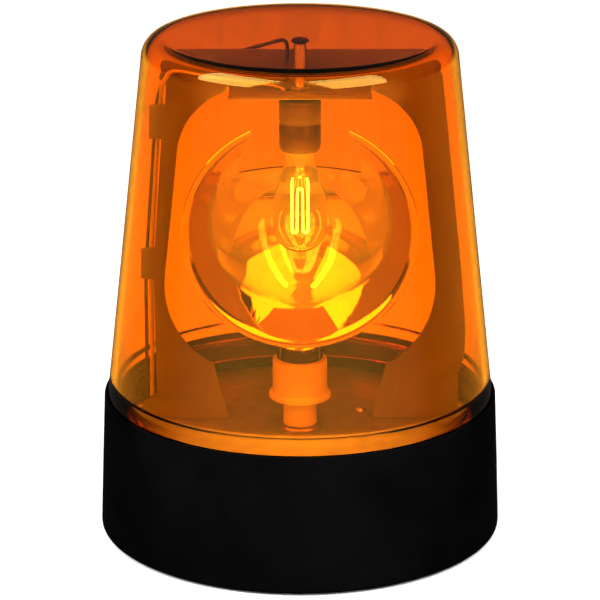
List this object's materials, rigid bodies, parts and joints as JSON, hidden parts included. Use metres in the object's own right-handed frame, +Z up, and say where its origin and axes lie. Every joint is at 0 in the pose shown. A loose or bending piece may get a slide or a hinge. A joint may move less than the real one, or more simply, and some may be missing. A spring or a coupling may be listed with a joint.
{
  "type": "rotating beacon",
  "caption": "Amber rotating warning beacon: tapered clear dome on a black round base, with a motor-driven bowl reflector turning round a fixed lamp.",
  "frame": {"origin": "centre of the base on the surface it stands on", "axes": "+Z up along the reflector's axis of rotation; the reflector faces -Y at rest; the cord inlet is on +Y"},
  "size_m": [0.15, 0.15, 0.1888],
  "materials": {
    "black_abs": "satin black moulded ABS",
    "cover_abs": "matt black moulded ABS",
    "amber_acrylic": "clear amber moulded acrylic",
    "seal_rubber": "matt black rubber",
    "foot_rubber": "matt dark rubber",
    "deck_steel": "zinc plated sheet",
    "bracket_steel": "dark satin sheet steel",
    "screw_steel": "bright zinc",
    "holder_plastic": "dark heat-proof moulding",
    "ceramic": "glazed ceramic",
    "lamp_glass": "clear blown glass",
    "tungsten": "glowing wire",
    "cap_nickel": "nickel plated",
    "mirror_finish": "vacuum-plated mirror",
    "hub_plastic": "pale moulded nylon",
    "gear_acetal": "natural acetal",
    "bush_brass": "turned brass",
    "motor_zinc": "zinc plated can",
    "lead_light": "pale lead sleeve",
    "lead_dark": "dark lead sleeve",
    "terminal_polyamide": "natural polyamide"
  },
  "bodies": {
    "base": {"base_housing": "black_abs", "cord_grommet": "seal_rubber", "bottom_cover": "cover_abs", "deck_plate": "deck_steel", "bracket_plate": "bracket_steel", "lamp_holder": "holder_plastic", "holder_core": "ceramic", "holder_nut": "screw_steel", "steady_post": "screw_steel", "post_cap": "seal_rubber", "bulb_glass": "lamp_glass", "bulb_cap": "cap_nickel", "bulb_stem": "lamp_glass", "filament": "tungsten", "lamp_lead_1": "lead_light", "lamp_lead_2": "lead_dark", "motor_lead_1": "lead_dark", "motor_lead_2": "lead_dark", "terminal_block": "terminal_polyamide", "bearing_bush": "bush_brass", "motor_can": "motor_zinc", "motor_pillar_1": "screw_steel", "motor_pillar_2": "screw_steel", "motor_screw_1": "screw_steel", "motor_screw_2": "screw_steel", "cover_screw_1": "screw_steel", "deck_screw_1": "screw_steel", "bracket_screw_1": "screw_steel", "foot_1": "foot_rubber", "cover_screw_2": "screw_steel", "deck_screw_2": "screw_steel", "bracket_screw_2": "screw_steel", "foot_2": "foot_rubber", "cover_screw_3": "screw_steel", "deck_screw_3": "screw_steel", "bracket_screw_3": "screw_steel", "foot_3": "foot_rubber", "cover_screw_4": "screw_steel", "deck_screw_4": "screw_steel", "bracket_screw_4": "screw_steel", "foot_4": "foot_rubber"},
    "reflector": {"reflector_bowl": "mirror_finish", "reflector_hub": "hub_plastic", "spindle": "screw_steel", "spindle_clip": "screw_steel", "drive_gear": "gear_acetal"},
    "motor_rotor": {"motor_shaft": "screw_steel", "motor_pinion": "bush_brass"},
    "seal": {"dome_seal": "seal_rubber"},
    "dome": {"dome": "amber_acrylic"}
  },
  "joints": [
    {"name": "reflector_spin", "type": "hinge", "parent": "base", "child": "reflector", "pos_m": [0, 0, 0.0395], "axis": [0, 0, 1], "continuous": true},
    {"name": "motor_spin", "type": "hinge", "parent": "base", "child": "motor_rotor", "pos_m": [0.0228, 0, 0.03], "axis": [0, 0, 1], "continuous": true},
    {"name": "dome_lift", "type": "slide", "parent": "base", "child": "seal", "axis": [0, 0, 1], "range_m": [0, 0.19]},
    {"name": "dome_twist", "type": "hinge", "parent": "seal", "child": "dome", "pos_m": [0, 0, 0.05], "axis": [0, 0, 1], "range_deg": [0, 20]}
  ],
  "couplings": [
    {"joint": "motor_spin", "follows": "reflector_spin", "ratio": -3.75}
  ]
}
